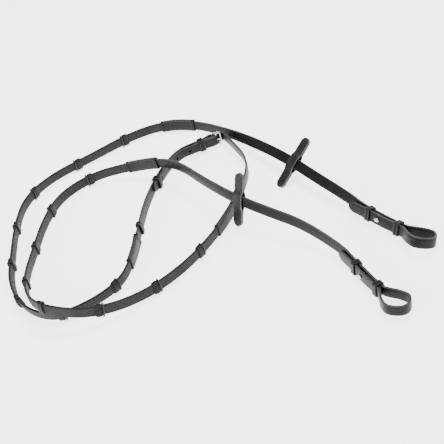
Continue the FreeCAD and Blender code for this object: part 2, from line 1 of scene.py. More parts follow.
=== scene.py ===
"""Looks of a buckled pair of black riding reins, laid in an open double loop on a pale floor.

Every strap follows one smooth spline per rein.  A second spline through the strap's upper edge
says how the strap leans, so each section stands where the two splines say.  Sizes are in metres.
"""
import math

import bpy
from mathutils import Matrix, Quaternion, Vector


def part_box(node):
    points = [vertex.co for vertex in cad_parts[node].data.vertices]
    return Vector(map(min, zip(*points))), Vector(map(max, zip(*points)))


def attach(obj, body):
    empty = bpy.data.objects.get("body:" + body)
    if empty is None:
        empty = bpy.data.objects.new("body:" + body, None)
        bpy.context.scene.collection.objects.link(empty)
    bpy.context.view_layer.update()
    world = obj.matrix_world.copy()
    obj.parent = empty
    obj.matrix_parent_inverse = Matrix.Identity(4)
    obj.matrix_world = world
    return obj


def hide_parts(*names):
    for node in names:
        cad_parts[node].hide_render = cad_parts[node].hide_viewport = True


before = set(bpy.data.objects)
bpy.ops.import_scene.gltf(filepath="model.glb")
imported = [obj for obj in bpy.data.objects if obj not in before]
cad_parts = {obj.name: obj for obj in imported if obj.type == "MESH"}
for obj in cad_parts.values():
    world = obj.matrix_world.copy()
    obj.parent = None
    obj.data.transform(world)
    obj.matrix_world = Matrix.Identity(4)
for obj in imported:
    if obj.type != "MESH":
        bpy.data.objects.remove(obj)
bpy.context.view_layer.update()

UP = Vector((0, 0, 1))

# ---------------------------------------------------------------------------- sizes
WIDTH = 0.016                          # every strap
FRONT, WEB, REAR = 0.0035, 0.004, 0.003   # thickness of a front strap, a grip and a rear strap
BUTT = 0.0005                          # half the gap between two straps that a splice joins
BILLET_LONG = 0.112                    # a rein's stations below this are on its billet
TIP = 0.011                            # length of a strap's rounded point
BLUNT_TIP, BLUNT_STOP = 0.02, 0.015    # a rounded end's least width as a share, squared
EDGE_ROUND = 0.28                      # a strap's edge radius, as a share of its thickness
CROWN = 0.00012                        # rise of a strap's middle over its edges
CREASE, CREASE_IN, CREASE_HALF = 0.00022, 0.0018, 0.0004   # depth, distance from the edge, half-width
# weights of the paler colour at corners, edges and creases: partly wear, partly painted highlight where
# light catches them
CORNER_WEAR_AND_HIGHLIGHT, EDGE_WEAR_AND_HIGHLIGHT, CREASE_WEAR_AND_HIGHLIGHT = 1.0, 0.6, 0.1
STITCH_LONG, STITCH_WIDE, STITCH_PITCH = 0.0021, 0.00062, 0.0031
STITCH_LIFT = 0.00025                  # a stitch's middle over the leather
SPLICE_LONG, SPLICE_GAP, SPLICE_SWELL = 0.058, 0.0003, 0.0011
SPLICE_SKIVE = 0.008                   # length of a splice cover's thinned end
WRAP_GAP = 0.0003
HAND_STOPS, HAND_STOP_LONG, HAND_STOP_WALL = 8, 0.012, 0.0024
KEEPER_LONG, KEEPER_WALL = 0.009, 0.0018
STOP_HALF_LONG, STOP_HALF_WIDE, STOP_PLY = 0.0425, 0.008, 0.0025   # a rein stop and one layer of it
STOP_PARTED, STOP_SLOPE = 0.0088, 0.0075   # half of its parted middle, and the slope at each end of that
WIRE, REACH, HALF_BAR = 0.0015, 0.013, 0.0104   # frame wire's radius, reach from the bar, half-height
FRAME_CORNER = 0.0028
PIN = 0.0012                           # tongue's radius
LIE_OFF = WIRE + PIN + 0.0002          # tongue's middle to the middle of the wire that it lies on
SPARE_HOLES, FIRST_HOLE, HOLE_PITCH, HOLE_RADIUS = 4, 0.030, 0.0254, 0.0020
SHIFT = Vector((0.00105, 0.00213, 0.00073))   # moves the routes to the middle of the set's box

# ---------------------------------------------------------------------------- camera
# The picture is taken from the right front, about 38 degrees up, with the camera rolled.
AIM = Vector((0.004, -0.0055, 0.0)) + SHIFT
EYE = Vector((0.6235, -1.3296, 1.1339)) + SHIFT
PICTURE_LEAN = 16                      # the roll, in degrees
camera_data = bpy.data.cameras.new("camera")
camera_data.lens = 101.25
camera_data.dof.use_dof = False
camera = bpy.data.objects.new("camera", camera_data)
bpy.context.collection.objects.link(camera)
camera.location = EYE
camera.rotation_mode = "QUATERNION"
camera.rotation_quaternion = ((AIM - EYE).to_track_quat("-Z", "Y")
                              @ Quaternion((0, 0, 1), math.radians(-PICTURE_LEAN)))
bpy.context.scene.camera = camera

# ---------------------------------------------------------------------------- routes
# Billet end in its own plane: out towards the bit, then to the side that it folds back on.
BILLET = [(-0.096, 0.0053), (-0.06, 0.005), (-0.03, 0.0072), (0.005, 0.0052), (0.014, 0.0088),
          (0.026, 0.015), (0.043, 0.017), (0.059, -0.004), (0.043, -0.022), (0.026, -0.015),
          (0.014, -0.005), (0.005, 0), (-0.072, -0.0012)]
LOOP_END = 7                           # the listed point at the loop's far end

# Free runs: x, y, z and the lean in degrees, positive to the left of a walk to the buckle.
REST = 0.011                           # height of the line where a rein rests on the floor
RIGHT_END = dict(origin=(0.279, -0.037, 0.0152), heading=-34, lean=-20)
RIGHT_RUN = [(0.193, 0.026, 0.02, -32), (0.14, 0.065, 0.0245, -48), (0.084, 0.11, 0.0275, -56),
             (0.021, 0.159, 0.021, -45), (-0.042, 0.203, 0.012, -8), (-0.098, 0.226, REST, -5),
             (-0.152, 0.229, REST, 0), (-0.204, 0.203, REST, 0), (-0.258, 0.145, REST, 5),
             (-0.313, 0.09, REST, 8), (-0.335, 0.032, REST, 0), (-0.324, -0.032, REST, -3),
             (-0.303, -0.096, REST, -5), (-0.281, -0.158, REST, -15), (-0.24, -0.209, REST, -12),
             (-0.183, -0.227, REST, -12), (-0.137, -0.196, REST, -8), (-0.106, -0.152, REST, 0),
             (-0.105, -0.1, REST, 0), (-0.115, -0.04, REST, 8), (-0.125, 0.028, REST, 10),
             (-0.124, 0.1, REST, 0), (-0.11, 0.15, REST, 0)]
LEFT_END = dict(origin=(0.268, -0.153, 0.0112), heading=-48, lean=-6)
LEFT_RUN = [(0.2035, -0.0805, 0.0145, -9), (0.142, -0.043, 0.028, -14), (0.087, -0.028, 0.0395, -18),
            (0.031, -0.004, 0.0455, -18), (-0.03, 0.042, 0.041, -10), (-0.08, 0.085, 0.0365, -4),
            (-0.121, 0.1, 0.033, 0), (-0.182, 0.109, 0.017, 0), (-0.238, 0.094, REST, 0),
            (-0.277, 0.043, REST, -5), (-0.28, -0.021, REST, -6), (-0.27, -0.086, REST, -6),
            (-0.258, -0.15, 0.015, -5), (-0.226, -0.209, 0.029, 0), (-0.184, -0.235, 0.036, 3),
            (-0.126, -0.23, 0.025, 4), (-0.072, -0.186, REST, 3), (-0.026, -0.13, REST, 4),
            (0.003, -0.062, REST, 0), (0.017, 0, REST, 0), (0.023, 0.061, REST, 0),
            (0.016, 0.124, REST, 0)]

# Centre buckle, from its bar: out along the right rein, then to its right-hand side.
BUCKLE = dict(bar=(-0.06, 0.184, 0.0125), heading=38, tilt=20)
TURN = 0.0038                          # fold's centreline to the bar's centre
LIE = 0.0016                           # centreline of each layer behind the fold
# The right rein's fold round the bar, then the left rein through the frame and back past the fold.
CHAPE = [(-0.03, -LIE), (-0.014, -0.0014), (-0.006, -TURN), (0.0042, -TURN), (0.0042, TURN),
         (-0.006, TURN), (-0.014, LIE), (-0.031, 0.0017)]
POINT = [(0.0205, 0.034), (0.0188, 0.011), (0.0166, 0.0003), (0.01, 0.0003), (0.0045, 0.0072),
         (-0.003, 0.0076), (-0.014, 0.005), (-0.03, 0.0051)]
POINT_RUN = [(-0.1073, 0.1464, REST, 0), (-0.1199, 0.1, REST, 0), (-0.121, 0.058, REST, 0)]
POINT_AFTER = Vector((-0.121, 0.04, 0.01))


def level(heading):
    """Level direction at a heading in degrees."""
    turn = math.radians(heading)
    return Vector((math.cos(turn), math.sin(turn), 0))


def leaning(left, degrees):
    """Direction across a strap whose upper edge leans towards left."""
    turn = math.radians(degrees)
    return UP * math.cos(turn) + left * math.sin(turn)


def billet_points(end):
    """A rein's billet and loop, as (place, across) pairs."""
    out = level(end["heading"])
    right = Vector((out.y, -out.x, 0))
    across = leaning(right, end["lean"])
    turn = math.radians(end["lean"])
    side = right * math.cos(turn) - UP * math.sin(turn)
    return [(Vector(end["origin"]) + out * u + side * v, across) for u, v in BILLET]


def run_points(run, before, after):
    """A free run as (place, across) pairs; before and after are the places next to its ends."""
    spots = [Vector(p[:3]) for p in run]
    chain = [before] + spots + [after]
    points = []
    for i, spot in enumerate(spots):
        ahead = chain[i + 2] - chain[i]
        left = Vector((-ahead.y, ahead.x, 0)).normalized()
        points.append((spot, leaning(left, run[i][3])))
    return points


def buckle_points(profile):
    """A profile at the buckle as (place, across) pairs, with the strap upright."""
    out = level(BUCKLE["heading"])
    side = Vector((out.y, -out.x, 0))
    return [(Vector(BUCKLE["bar"]) + out * u + side * v, UP) for u, v in profile]


def follow(name, spots):
    """Points along the smooth spline that has these spots as its control points."""
    curve = bpy.data.curves.new(name, "CURVE")
    curve.dimensions = "3D"
    curve.resolution_u = 20
    spline = curve.splines.new("NURBS")
    spline.points.add(len(spots) - 1)
    for point, spot in zip(spline.points, spots):
        point.co = (*(spot + SHIFT), 1)
    spline.order_u = 3
    spline.use_endpoint_u = True
    holder = bpy.data.objects.new(name, curve)
    line = bpy.data.meshes.new_from_object(holder)
    points = [v.co.copy() for v in line.vertices]
    bpy.data.objects.remove(holder)
    bpy.data.curves.remove(curve)
    bpy.data.meshes.remove(line)
    return points


class Strand:
    """One rein's line: place, travel, across and left face at every station."""

    def __init__(self, name, points):
        self.place = follow(name + "_line", [p for p, _ in points])
        edge = follow(name + "_edge", [p + w * (WIDTH / 2) for p, w in points])
        count = len(self.place)
        self.station = [0.0]
        for a, b in zip(self.place, self.place[1:]):
            self.station.append(self.station[-1] + (b - a).length)
        self.travel, self.across = [], []
        for i in range(count):
            travel = (self.place[min(i + 1, count - 1)] - self.place[max(i - 1, 0)]).normalized()
            across = edge[i] - self.place[i]
            self.travel.append(travel)
            self.across.append((across - travel * across.dot(travel)).normalized())

    def at(self, station):
        """Place, travel, across and left face at a station."""
        low, high = 0, len(self.station) - 1
        while high - low > 1:
            middle = (low + high) // 2
            if self.station[middle] > station:
                high = middle
            else:
                low = middle
        span = self.station[high] - self.station[low]
        share = min(max((station - self.station[low]) / span, 0.0), 1.0)
        place = self.place[low].lerp(self.place[high], share)
        travel = self.travel[low].lerp(self.travel[high], share).normalized()
        across = self.across[low].lerp(self.across[high], share)
        across = (across - travel * across.dot(travel)).normalized()
        return place, travel, across, across.cross(travel)

    def nearest(self, spot, after=0.0, before=9.0):
        """Station nearest a spot: the closest point read from the line, then a step along it."""
        inside = [i for i, s in enumerate(self.station) if after <= s <= before]
        i = min(inside, key=lambda k: (self.place[k] - spot).length)
        offset = (spot - self.place[i]).dot(self.travel[i])
        return min(max(self.station[i] + offset, after), before)

    def stations(self, start, stop, extra=()):
        """The line's own stations between two, with extra ones and both ends."""
        inner = [s for s in self.station if start + 0.0002 < s < stop - 0.0002]
        spare = [s for s in extra if start + 0.0002 < s < stop - 0.0002]
        return [start] + sorted(inner + spare) + [stop]


right_end, left_end = billet_points(RIGHT_END), billet_points(LEFT_END)
chape, point = buckle_points(CHAPE), buckle_points(POINT)
RIGHT = Strand("right", right_end + run_points(RIGHT_RUN, right_end[-1][0], chape[0][0]) + chape)
LEFT = Strand("left", left_end + run_points(LEFT_RUN, left_end[-1][0], point[0][0]) + point
              + run_points(POINT_RUN, point[-1][0], POINT_AFTER))
SIDES = {"right": RIGHT, "left": LEFT}
# station of the far end of each rein's bit-ring loop
LOOP = {"right": RIGHT.nearest(right_end[LOOP_END][0] + SHIFT, 0.12, 0.22),
        "left": LEFT.nearest(left_end[LOOP_END][0] + SHIFT, 0.12, 0.22)}


def middle_of(node):
    low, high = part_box(node)
    return (Vector(low) + Vector(high)) / 2


# ---------------------------------------------------------------------------- materials
MIX_FACTOR, MIX_FIRST, MIX_SECOND, MIX_COLOUR = 0, 6, 7, 2   # sockets of a colour Mix node
WAVE_REPEAT = math.tau / 20            # a wave texture's repeat at scale 1
RIB_PITCH, YARN_PITCH = 0.0011, 0.0009


def node(tree, kind, **values):
    """A shader node; each value goes to the input socket of that name, links included."""
    made = tree.nodes.new("ShaderNode" + kind)
    for name, value in values.items():
        socket = made.inputs[name.replace("_", " ")]
        if isinstance(value, bpy.types.NodeSocket):
            tree.links.new(value, socket)
        else:
            socket.default_value = value
    return made


def blank(name):
    """A material with nothing but a shader and an output."""
    material = bpy.data.materials.new(name)
    material.use_nodes = True
    tree = material.node_tree
    tree.nodes.clear()
    shader = tree.nodes.new("ShaderNodeBsdfPrincipled")
    output = tree.nodes.new("ShaderNodeOutputMaterial")
    tree.links.new(shader.outputs["BSDF"], output.inputs["Surface"])
    return material, tree, shader


def ramp(tree, factor, stops):
    """Colour between two stops, each a (place, colour) pair."""
    made = tree.nodes.new("ShaderNodeValToRGB")
    tree.links.new(factor, made.inputs["Fac"])
    for element, (place, colour) in zip(made.color_ramp.elements, stops):
        element.position, element.color = place, (*colour, 1)
    return made.outputs["Color"]


def grey(value):
    return (value, value * 0.985, value)


def leather(name, dark, light, rough, grain, gloss=0.5, edge=16):
    """Pebbled, dyed leather: pores, soft creases, patchy sheen, and edges drawn paler, partly by wear and
    partly as painted highlight.
    """
    material, tree, shader = blank(name)
    coords = tree.nodes.new("ShaderNodeTexCoord").outputs["Object"]
    pebble = node(tree, "TexVoronoi", Vector=coords, Scale=1250.0)
    patches = node(tree, "TexNoise", Vector=coords, Scale=55.0, Detail=5.0, Roughness=0.6)
    creases = node(tree, "TexNoise", Vector=coords, Scale=420.0, Detail=6.0, Roughness=0.65)
    colour = ramp(tree, patches.outputs["Fac"], ((0.32, grey(dark)), (0.72, grey(light))))
    # per-point weight of the paler edges: partly worn leather, partly painted highlight where light
    # catches the edges
    wear_and_highlight = tree.nodes.new("ShaderNodeAttribute")
    wear_and_highlight.attribute_name = "wear_and_highlight"
    worn_and_highlit = node(tree, "Math", Value=creases.outputs["Fac"])
    worn_and_highlit.operation = "MULTIPLY"
    tree.links.new(wear_and_highlight.outputs["Fac"], worn_and_highlit.inputs[1])
    mix = tree.nodes.new("ShaderNodeMix")
    mix.data_type = "RGBA"
    tree.links.new(worn_and_highlit.outputs["Value"], mix.inputs[MIX_FACTOR])
    tree.links.new(colour, mix.inputs[MIX_FIRST])
    # paler edge colour: worn leather together with a painted highlight
    mix.inputs[MIX_SECOND].default_value = (*grey(light * edge), 1)
    tree.links.new(mix.outputs[MIX_COLOUR], shader.inputs["Base Color"])
    sheen = node(tree, "MapRange", Value=creases.outputs["Fac"])
    sheen.inputs["From Min"].default_value = 0.3
    sheen.inputs["From Max"].default_value = 0.7
    sheen.inputs["To Min"].default_value = rough - 0.07
    sheen.inputs["To Max"].default_value = rough + 0.09
    tree.links.new(sheen.outputs["Result"], shader.inputs["Roughness"])
    shader.inputs["Specular IOR Level"].default_value = gloss
    fine = node(tree, "Bump", Height=pebble.outputs["Distance"], Strength=grain, Distance=0.00025)
    soft = node(tree, "Bump", Height=creases.outputs["Fac"], Strength=0.22, Distance=0.0004,
                Normal=fine.outputs["Normal"])
    tree.links.new(soft.outputs["Normal"], shader.inputs["Normal"])
    return material


def waves(tree, coords, direction, pitch):
    """Straight bands square to one coordinate, one every pitch."""
    made = node(tree, "TexWave", Vector=coords, Scale=WAVE_REPEAT / pitch, Distortion=0.0)
    made.wave_type = "BANDS"
    made.bands_direction = direction
    made.wave_profile = "SIN"
    return made.outputs["Fac"]


def web(name, dark, light):
    """Close cotton web: ribs across the strap, warp yarns along it, and a little fuzz."""
    material, tree, shader = blank(name)
    run = tree.nodes.new("ShaderNodeUVMap")
    run.uv_map = "run"
    ribs = waves(tree, run.outputs["UV"], "X", RIB_PITCH)
    yarns = waves(tree, run.outputs["UV"], "Y", YARN_PITCH)
    weave = node(tree, "Math", Value=ribs)
    weave.operation = "MULTIPLY"
    tree.links.new(yarns, weave.inputs[1])
    coords = tree.nodes.new("ShaderNodeTexCoord").outputs["Object"]
    fuzz = node(tree, "TexNoise", Vector=coords, Scale=2600.0, Detail=3.0)
    patches = node(tree, "TexNoise", Vector=coords, Scale=40.0, Detail=3.0)
    both = node(tree, "Math", Value=weave.outputs["Value"])
    both.operation = "MULTIPLY_ADD"
    both.inputs[1].default_value = 0.55
    tree.links.new(patches.outputs["Fac"], both.inputs[2])
    colour = ramp(tree, both.outputs["Value"], ((0.3, grey(dark)), (1.0, grey(light))))
    tree.links.new(colour, shader.inputs["Base Color"])
    shader.inputs["Roughness"].default_value = 0.72
    shader.inputs["Specular IOR Level"].default_value = 0.15
    shader.inputs["Sheen Weight"].default_value = 0.08
    shader.inputs["Sheen Roughness"].default_value = 0.5
    raised = node(tree, "Bump", Height=weave.outputs["Value"], Strength=0.7, Distance=0.00035)
    hairy = node(tree, "Bump", Height=fuzz.outputs["Fac"], Strength=0.25, Distance=0.0002,
                 Normal=raised.outputs["Normal"])
    tree.links.new(hairy.outputs["Normal"], shader.inputs["Normal"])
    return material


def thread(name, dark, light):
    """Waxed twisted thread."""
    material, tree, shader = blank(name)
    coords = tree.nodes.new("ShaderNodeTexCoord").outputs["Object"]
    twist = node(tree, "TexNoise", Vector=coords, Scale=2400.0, Detail=2.0)
    colour = ramp(tree, twist.outputs["Fac"], ((0.35, grey(dark)), (0.65, grey(light))))
    tree.links.new(colour, shader.inputs["Base Color"])
    shader.inputs["Roughness"].default_value = 0.48
    bump = node(tree, "Bump", Height=twist.outputs["Fac"], Strength=0.4, Distance=0.0002)
    tree.links.new(bump.outputs["Normal"], shader.inputs["Normal"])
    return material


def metal(name, colour, rough):
    """Nickel plate with faint polishing marks and a duller film in places."""
    material, tree, shader = blank(name)
    coords = tree.nodes.new("ShaderNodeTexCoord").outputs["Object"]
    film = node(tree, "TexNoise", Vector=coords, Scale=160.0, Detail=5.0)
    marks = node(tree, "TexNoise", Vector=coords, Scale=1900.0, Detail=2.0)
    tint = ramp(tree, film.outputs["Fac"],
                ((0.3, tuple(c * 0.82 for c in colour)), (0.65, colour)))
    tree.links.new(tint, shader.inputs["Base Color"])
    shader.inputs["Metallic"].default_value = 1.0
    dull = node(tree, "MapRange", Value=film.outputs["Fac"])
    dull.inputs["To Min"].default_value = rough
    dull.inputs["To Max"].default_value = rough + 0.16
    tree.links.new(dull.outputs["Result"], shader.inputs["Roughness"])
    bump = node(tree, "Bump", Height=marks.outputs["Fac"], Strength=0.06, Distance=0.0001)
    tree.links.new(bump.outputs["Normal"], shader.inputs["Normal"])
    return material


STRAP_LEATHER = leather("strap_leather", 0.003, 0.008, 0.42, 0.35, 0.14)
LOOP_LEATHER = leather("loop_leather", 0.002, 0.005, 0.4, 0.3, 0.12, 14)
STOP_LEATHER = leather("stop_leather", 0.006, 0.014, 0.46, 0.4, 0.2, 14)
WEB_CLOTH = web("web_cloth", 0.006, 0.022)
THREAD = thread("thread", 0.02, 0.045)
NICKEL = metal("nickel", (0.6, 0.59, 0.58), 0.2)


# ---------------------------------------------------------------------------- mesh making
def mesh_piece(name, points, faces, material, body, wear_and_highlight=None, runs=None):
    """An object from points and faces, with a per-point weight for edges drawn paler by wear and painted
    highlight, and a (u, v) run pair per point.
    """
    mesh = bpy.data.meshes.new(name)
    mesh.from_pydata([tuple(p) for p in points], [], faces)
    mesh.update()
    for polygon in mesh.polygons:
        polygon.use_smooth = True
    if wear_and_highlight:
        layer = mesh.attributes.new("wear_and_highlight", "FLOAT", "POINT")
        layer.data.foreach_set("value", wear_and_highlight)
    if runs:
        layer = mesh.uv_layers.new(name="run")
        for loop in mesh.loops:
            layer.data[loop.index].uv = runs[loop.vertex_index]
    mesh.materials.append(material)
    obj = bpy.data.objects.new(name, mesh)
    bpy.context.collection.objects.link(obj)
    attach(obj, body)
    return obj


def skin(name, rings, material, body, wears_and_highlights=None, runs=None, closed=False):
    """A surface through rings of equal length: ends capped, or the last ring joined to the first."""
    count, around = len(rings), len(rings[0])
    points = [p for ring in rings for p in ring]
    faces = []
    for i in range(count if closed else count - 1):
        a, b = i * around, ((i + 1) % count) * around
        for j in range(around):
            k = (j + 1) % around
            faces.append((a + j, a + k, b + k, b + j))
    if not closed:
        faces.append(tuple(range(around - 1, -1, -1)))
        faces.append(tuple((count - 1) * around + j for j in range(around)))
    wear_and_highlight = [w for ring in wears_and_highlights for w in ring] if wears_and_highlights else None
    run = [r for ring in runs for r in ring] if runs else None
    return mesh_piece(name, points, faces, material, body, wear_and_highlight, run)


def strap_section(width, thick, corner, crown=0.0, crease=0.0):
    """(across, side, weight of wear and painted edge highlight) round a flat strap, crowned a little and
    creased near both edges.
    """
    a, b = width / 2, thick / 2
    flat, inset = a - corner, a - CREASE_IN
    half = []
    for u in (-flat, -inset - CREASE_HALF, -inset, -inset + CREASE_HALF, -flat / 2, 0,
              flat / 2, inset - CREASE_HALF, inset, inset + CREASE_HALF, flat):
        depth = crease if abs(abs(u) - inset) < 1e-6 else 0.0
        half.append((u, b + crown * (1 - (u / a) ** 2) - depth, CREASE_WEAR_AND_HIGHLIGHT if depth else 0.0))
    for turn in (67, 45, 22, 0, -22, -45, -67):
        middle = math.copysign(b - corner, turn) if turn else 0.0
        half.append((flat + corner * math.cos(math.radians(turn)),
                     middle + corner * math.sin(math.radians(turn)),
                     CORNER_WEAR_AND_HIGHLIGHT if abs(turn) == 45 else EDGE_WEAR_AND_HIGHLIGHT))
    return half + [(-u, -v, w) for u, v, w in half]


def narrowed(inward):
    """Share of a strap's width, this far in from its rounded end."""
    if inward >= TIP:
        return 1.0
    return math.sqrt(max(1 - (1 - inward / TIP) ** 2, BLUNT_TIP))


def strap(name, strand, start, stop, thick, material, tip=False, tail=False,
          corner=None, crease=CREASE):
    """A flat strap between two stations of a strand; tip and tail round its ends."""
    section = strap_section(WIDTH, thick, corner or thick * EDGE_ROUND, CROWN, crease)
    rounded = [TIP * (k / 9) ** 2 for k in range(10)]
    extra = ([start + r for r in rounded] if tip else []) + ([stop - r for r in rounded] if tail else [])
    rings, wears_and_highlights, runs = [], [], []
    for s in strand.stations(start, stop, extra):
        place, travel, across, side = strand.at(s)
        narrow = 1.0
        if tip:
            narrow = narrowed(s - start)
        if tail:
            narrow = min(narrow, narrowed(stop - s))
        rings.append([place + across * (u * narrow) + side * v for u, v, w in section])
        wears_and_highlights.append([w for u, v, w in section])
        runs.append([(s, u) for u, v, w in section])
    return skin(name, rings, material, "reins", wears_and_highlights, runs)


def stitches(name, spots, body):
    """Stitches as short raised beads; each spot is (place, along, normal)."""
    points, faces = [], []
    profile = [(-0.5, 0.25), (-0.38, 0.8), (0.0, 1.0), (0.38, 0.8), (0.5, 0.25)]
    around, flatter = 6, 0.8
    for place, along, normal in spots:
        beside = along.cross(normal)
        base = len(points)
        for share, fat in profile:
            for k in range(around):
                turn = math.tau * k / around
                points.append(place + along * (share * STITCH_LONG)
                              + (beside * math.cos(turn) + normal * math.sin(turn) * flatter)
                              * (fat * STITCH_WIDE / 2))
        for i in range(len(profile) - 1):
            for k in range(around):
                a, b = base + i * around + k, base + i * around + (k + 1) % around
                faces.append((a, b, b + around, a + around))
        faces.append(tuple(base + k for k in range(around - 1, -1, -1)))
        faces.append(tuple(base + (len(profile) - 1) * around + k for k in range(around)))
    return mesh_piece(name, points, faces, THREAD, body)


def seam(strand, start, stop, height, out):
    """Stitch spots along a strand, height across it and out from its line (negative: far face)."""
    count = max(2, int((stop - start) / STITCH_PITCH))
    spots = []
    for k in range(count):
        place, travel, across, side = strand.at(start + (stop - start) * (k + 0.5) / count)
        face = side if out > 0 else -side
        spots.append((place + across * height + face * abs(out), travel, face))
    return spots


def rounded_rectangle(low, high, tall, corner, arc, straight):
    """(u, v, outward u, outward v) round a rectangle with round corners.

    u runs from low to high and v from -tall to tall.  Each corner has arc points and each side
    has straight points of its own.
    """
    spots = []
    corners = ((high - corner, tall - corner), (low + corner, tall - corner),
               (low + corner, corner - tall), (high - corner, corner - tall))
    for i, (u0, v0) in enumerate(corners):
        for k in range(arc):
            turn = math.radians(90 * i + 90 * k / (arc - 1))
            out = (math.cos(turn), math.sin(turn))
            spots.append((u0 + corner * out[0], v0 + corner * out[1], *out))
        u1, v1 = corners[(i + 1) % 4]
        turn = math.radians(90 * (i + 1))
        out = (math.cos(turn), math.sin(turn))
        for k in range(1, straight + 1):
            share = k / (straight + 1)
            spots.append((u0 + (u1 - u0) * share + corner * out[0],
                          v0 + (v1 - v0) * share + corner * out[1], *out))
    return spots


# Profiles of a wrap: place along it as a share of its length, rise as a share of its wall.
PLAIN_WRAP = [(-0.5, 0), (-0.5, 0.55), (-0.46, 0.85), (-0.36, 1.0), (-0.25, 0.9), (0, 0.94),
              (0.25, 0.9), (0.36, 1.0), (0.46, 0.85), (0.5, 0.55), (0.5, 0)]
LIPPED_WRAP = [(-0.5, 0), (-0.5, 0.3), (-0.45, 0.45), (-0.3, 0.6), (-0.1, 0.66), (0.12, 0.72),
               (0.17, 0.68), (0.2, 0.22), (0.27, 0.2), (0.3, 0.8), (0.34, 0.96), (0.41, 1.0),
               (0.47, 0.92), (0.5, 0.6), (0.5, 0)]


def wrap(name, strand, station, length, thick, wall, body, gap=WRAP_GAP,
         shape=PLAIN_WRAP, aside=0.0, lap=0.0):
    """A leather strip wrapped round the strap; lap is the extra height of its joint's overlap."""
    wide = WIDTH / 2 + gap
    base = rounded_rectangle(-wide, wide, thick / 2 + gap, min(0.0008, thick / 4), 5, 3)
    rings, wears_and_highlights, runs = [], [], []
    # out over the strip and back along its inside, so that the wrap is one closed skin
    inside = [(x, 0) for x, _ in shape[::-1][1:-1:3]]
    for x, rise in shape + inside:
        place, travel, across, side = strand.at(station + x * length)
        place = place + side * aside
        ring, wear_and_highlight = [], []
        for u, v, ou, ov in base:
            height = wall * rise
            if rise and lap and ov < -0.9 and abs(u) < WIDTH * 0.3:
                height += lap
            ring.append(place + across * (u + ou * height) + side * (v + ov * height))
            # the raised rims and the corners are drawn paler: partly wear, partly painted highlight
            edge = 1.0 if rise >= 0.9 and abs(x) > 0.3 else 0.0
            wear_and_highlight.append(max(edge * 0.8, 0.5 if rise and abs(ou * ov) > 0.2 else 0.0))
        rings.append(ring)
        wears_and_highlights.append(wear_and_highlight)
        runs.append([(x * length, u) for u, v, ou, ov in base])
    return skin(name, rings, LOOP_LEATHER, body, wears_and_highlights, runs, closed=True)


def wrap_seams(strand, station, length, thick, wall, aside=0.0, places=(-0.25, 0.25), rise=0.9):
    """Stitch spots square to the strap on both faces of a wrap."""
    spots = []
    for x in places:
        place, travel, across, side = strand.at(station + x * length)
        for face in (1, -1):
            out = side * face
            middle = place + side * aside + out * (thick / 2 + WRAP_GAP + wall * rise)
            for k in range(-2, 3):
                spots.append((middle + across * (k * WIDTH * 0.19), across, out))
    return spots


# ---------------------------------------------------------------------------- holes and metal
def cut_holes(obj, cutters):
    """Cuts holes through a strap, one for each cutter."""
    for cutter in cutters:
        bpy.context.collection.objects.link(cutter)
        cut = obj.modifiers.new("hole", "BOOLEAN")
        cut.operation, cut.object, cut.solver = "DIFFERENCE", cutter, "EXACT"
        done = bpy.data.meshes.new_from_object(
            obj.evaluated_get(bpy.context.evaluated_depsgraph_get()))
        obj.modifiers.clear()
        obj.data = done
        bpy.data.objects.remove(cutter)


def punch(place, normal, radius, reach=0.004):
    """A cylinder that cuts a round hole along a normal."""
    sides = 20
    beside = normal.orthogonal().normalized()
    other = normal.cross(beside)
    points = [place + normal * (reach * end) + (beside * math.cos(math.tau * k / sides)
                                               + other * math.sin(math.tau * k / sides)) * radius
              for end in (-1, 1) for k in range(sides)]
    faces = [(k, (k + 1) % sides, sides + (k + 1) % sides, sides + k) for k in range(sides)]
    faces += [tuple(range(sides - 1, -1, -1)), tuple(range(sides, 2 * sides))]
    mesh = bpy.data.meshes.new("punch")
    mesh.from_pydata([tuple(p) for p in points], [], faces)
    return bpy.data.objects.new("punch", mesh)


def lathe(name, place, axis, along, profile, body, stretch=1.0):
    """A turned metal piece: profile is (height, radius); stretch lengthens it along one way."""
    sides = 32
    beside = axis.cross(along).normalized()
    rings = []
    for height, radius in profile:
        rings.append([place + axis * height + (along * (math.cos(math.tau * k / sides) * stretch)
                                               + beside * math.sin(math.tau * k / sides)) * radius
                      for k in range(sides)])
    return skin(name, rings, NICKEL, body)


def wire(name, spots, radii, body, closed=False):
    """Round metal wire through spots, with a radius at each."""
    count, sides = len(spots), 16
    rings, normal = [], None
    for i, spot in enumerate(spots):
        if closed:
            travel = (spots[(i + 1) % count] - spots[i - 1]).normalized()
        else:
            travel = (spots[min(i + 1, count - 1)] - spots[max(i - 1, 0)]).normalized()
        normal = (normal or travel.orthogonal())
        normal = (normal - travel * normal.dot(travel)).normalized()
        other = travel.cross(normal)
        rings.append([spot + (normal * math.cos(math.tau * k / sides)
                              + other * math.sin(math.tau * k / sides)) * radii[i]
                      for k in range(sides)])
    return skin(name, rings, NICKEL, body, closed=closed)


# ---------------------------------------------------------------------------- one rein
def layer_gap(strand, station):
    """Distance from the main layer to the billet that lies on its left face."""
    place, travel, across, side = strand.at(station)
    billet = [i for i, s in enumerate(strand.station) if s < BILLET_LONG]
    i = min(billet, key=lambda k: abs((strand.place[k] - place).dot(travel)))
    return (strand.place[i] - place).dot(side)


def stud_station(side_name):
    loop = LOOP[side_name]
    return SIDES[side_name].nearest(middle_of(side_name + "_hook_stud"), loop, loop + 0.2)


